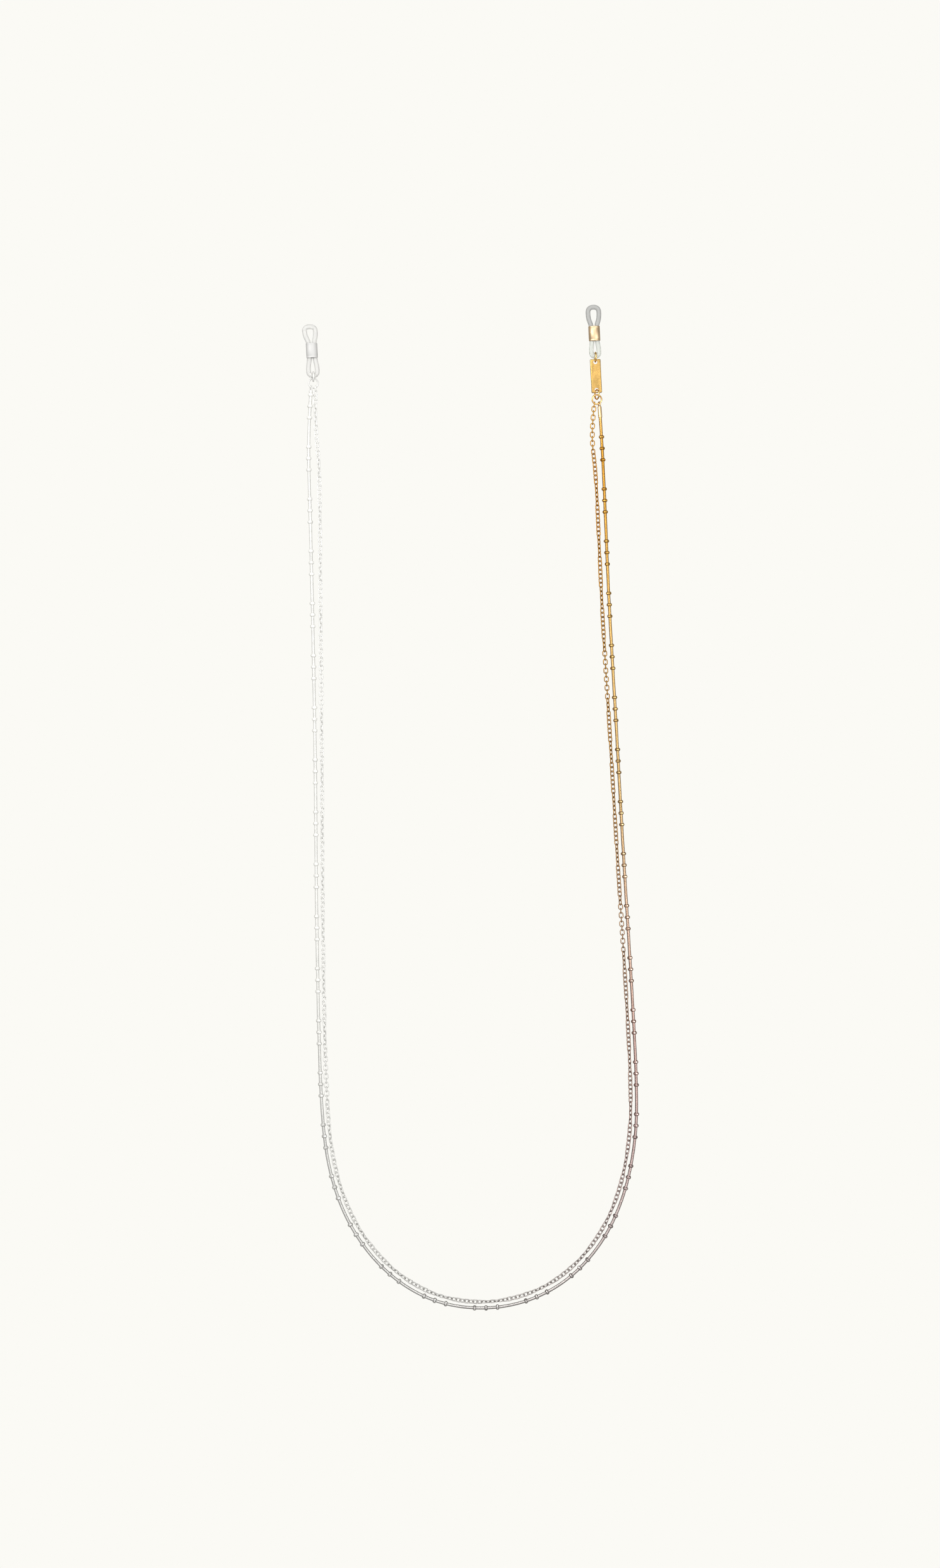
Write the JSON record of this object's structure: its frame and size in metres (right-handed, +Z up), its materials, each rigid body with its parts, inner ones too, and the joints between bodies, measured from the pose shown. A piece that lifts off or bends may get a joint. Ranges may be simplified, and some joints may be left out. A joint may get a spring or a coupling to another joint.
{
  "type": "eyeglasses chain strap",
  "caption": "Eyeglasses chain strap: a fine cable chain and a beaded snake chain side by side, with a clear silicone temple loop and metal barrel at each end.",
  "frame": {"origin": "centre of the laid-out strap's plan, on the surface it lies on", "axes": "+Y from the bottom of the U towards the two temple loops, +X towards the end with the tag, +Z up from the surface"},
  "size_m": [0.1082, 0.3238, 0.0035],
  "materials": {
    "gold": "polished, gold plated",
    "pale_gold": "polished, gold plated",
    "rose_gold": "polished, rose gold plated",
    "grey_silver": "polished, silver plated",
    "white_silver": "polished, silver plated",
    "clear_silicone": "clear, slightly milky"
  },
  "bodies": {
    "run_01": {"cable_run_01": "gold", "snake_run_01": "gold", "bead_run_01": "gold", "snake_end_cap_right": "gold"},
    "run_02": {"cable_run_02": "gold", "snake_run_02": "gold", "bead_run_02": "gold"},
    "run_03": {"cable_run_03": "pale_gold", "snake_run_03": "pale_gold", "bead_run_03": "pale_gold"},
    "run_04": {"cable_run_04": "rose_gold", "snake_run_04": "rose_gold", "bead_run_04": "rose_gold"},
    "run_05": {"cable_run_05": "grey_silver", "snake_run_05": "grey_silver", "bead_run_05": "grey_silver"},
    "run_06": {"cable_run_06": "grey_silver", "snake_run_06": "grey_silver", "bead_run_06": "grey_silver"},
    "run_07": {"cable_run_07": "white_silver", "snake_run_07": "white_silver", "bead_run_07": "white_silver"},
    "run_08": {"cable_run_08": "white_silver", "snake_run_08": "white_silver", "bead_run_08": "white_silver"},
    "run_09": {"cable_run_09": "white_silver", "snake_run_09": "white_silver", "bead_run_09": "white_silver"},
    "run_10": {"cable_run_10": "white_silver", "snake_run_10": "white_silver", "bead_run_10": "white_silver", "snake_end_cap_left": "white_silver"},
    "strap_ring_right": {"strap_ring_right": "gold"},
    "tag_ring": {"tag_ring": "gold"},
    "tag": {"blank_tag": "gold"},
    "loop_ring_right": {"loop_ring_right": "gold"},
    "temple_loop_right": {"temple_loop_right": "clear_silicone"},
    "loop_barrel_right": {"loop_barrel_right": "gold"},
    "strap_ring_left": {"strap_ring_left": "white_silver"},
    "loop_ring_left": {"loop_ring_left": "white_silver"},
    "temple_loop_left": {"temple_loop_left": "clear_silicone"},
    "loop_barrel_left": {"loop_barrel_left": "white_silver"}
  },
  "joints": [
    {"name": "fold_4_5", "type": "hinge", "parent": "run_05", "child": "run_04", "pos_m": [0.03879, -0.1425, 0.00088], "axis": [0.7817, -0.6237, 0], "range_deg": [-45, 45], "deforming": ["snake_run_04", "snake_run_05"]},
    {"name": "fold_3_4", "type": "hinge", "parent": "run_04", "child": "run_03", "pos_m": [0.05189, -0.07821, 0.00088], "axis": [-0.9987, -0.0515, 0], "range_deg": [-45, 45], "deforming": ["snake_run_03"]},
    {"name": "fold_2_3", "type": "hinge", "parent": "run_03", "child": "run_02", "pos_m": [0.04789, -0.01189, 0.00088], "axis": [0.9983, 0.0584, 0], "range_deg": [-45, 45], "deforming": ["snake_run_02"]},
    {"name": "fold_1_2", "type": "hinge", "parent": "run_02", "child": "run_01", "pos_m": [0.04394, 0.05443, 0.00088], "axis": [-0.9984, -0.0572, 0], "range_deg": [-45, 45], "deforming": ["snake_run_01"]},
    {"name": "fold_5_6", "type": "hinge", "parent": "run_05", "child": "run_06", "pos_m": [-0.00654, -0.15896, 0.00088], "axis": [0.2222, 0.975, 0], "range_deg": [-45, 45], "deforming": ["snake_run_06"]},
    {"name": "fold_6_7", "type": "hinge", "parent": "run_06", "child": "run_07", "pos_m": [-0.04015, -0.12947, 0.00088], "axis": [-0.9157, -0.4018, 0], "range_deg": [-45, 45], "deforming": ["snake_run_07"]},
    {"name": "fold_7_8", "type": "hinge", "parent": "run_07", "child": "run_08", "pos_m": [-0.04821, -0.06362, 0.00088], "axis": [0.9997, 0.023, 0], "range_deg": [-45, 45], "deforming": ["snake_run_08"]},
    {"name": "fold_8_9", "type": "hinge", "parent": "run_08", "child": "run_09", "pos_m": [-0.04896, 0.00283, 0.00088], "axis": [-1, -0.0083, 0], "range_deg": [-45, 45], "deforming": ["snake_run_09"]},
    {"name": "fold_9_10", "type": "hinge", "parent": "run_09", "child": "run_10", "pos_m": [-0.04986, 0.07358, 0.00088], "axis": [0.9997, 0.0238, 0], "range_deg": [-45, 45], "deforming": ["snake_run_10"]},
    {"name": "strap_ring_right_swing", "type": "hinge", "parent": "run_01", "child": "strap_ring_right", "pos_m": [0.04052, 0.1302, 0.00088], "axis": [1, 0, 0], "range_deg": [-30, 15]},
    {"name": "tag_ring_swing", "type": "hinge", "parent": "strap_ring_right", "child": "tag_ring", "pos_m": [0.04052, 0.13298, 0.00088], "axis": [-1, 0, 0], "range_deg": [-30, 30]},
    {"name": "tag_swing", "type": "hinge", "parent": "tag_ring", "child": "tag", "pos_m": [0.04045, 0.13452, 0.00144], "axis": [0.4226, 0, 0.9063], "range_deg": [-20, 20]},
    {"name": "loop_ring_right_swing", "type": "hinge", "parent": "tag", "child": "loop_ring_right", "pos_m": [0.04001, 0.14341, 0.00144], "axis": [1, 0, 0], "range_deg": [-25, 15]},
    {"name": "temple_loop_right_swing", "type": "hinge", "parent": "loop_ring_right", "child": "temple_loop_right", "pos_m": [0.04001, 0.14535, 0.00144], "axis": [-1, 0, 0], "range_deg": [-75, 75]},
    {"name": "barrel_right_slide", "type": "slide", "parent": "temple_loop_right", "child": "loop_barrel_right", "axis": [-0.0436, 0.999, 0], "range_m": [0, 0.002], "deforming": ["temple_loop_right"]},
    {"name": "strap_ring_left_swing", "type": "hinge", "parent": "run_10", "child": "strap_ring_left", "pos_m": [-0.0507, 0.13535, 0.00088], "axis": [1, 0, 0], "range_deg": [-20, 30]},
    {"name": "loop_ring_left_swing", "type": "hinge", "parent": "strap_ring_left", "child": "loop_ring_left", "pos_m": [-0.0507, 0.13818, 0.00088], "axis": [-1, 0, 0], "range_deg": [-30, 30]},
    {"name": "temple_loop_left_swing", "type": "hinge", "parent": "loop_ring_left", "child": "temple_loop_left", "pos_m": [-0.05073, 0.13911, 0.00144], "axis": [1, 0, 0], "range_deg": [-75, 75]},
    {"name": "barrel_left_slide", "type": "slide", "parent": "temple_loop_left", "child": "loop_barrel_left", "axis": [-0.0576, 0.9983, 0], "range_m": [0, 0.002], "deforming": ["temple_loop_left"]}
  ]
}
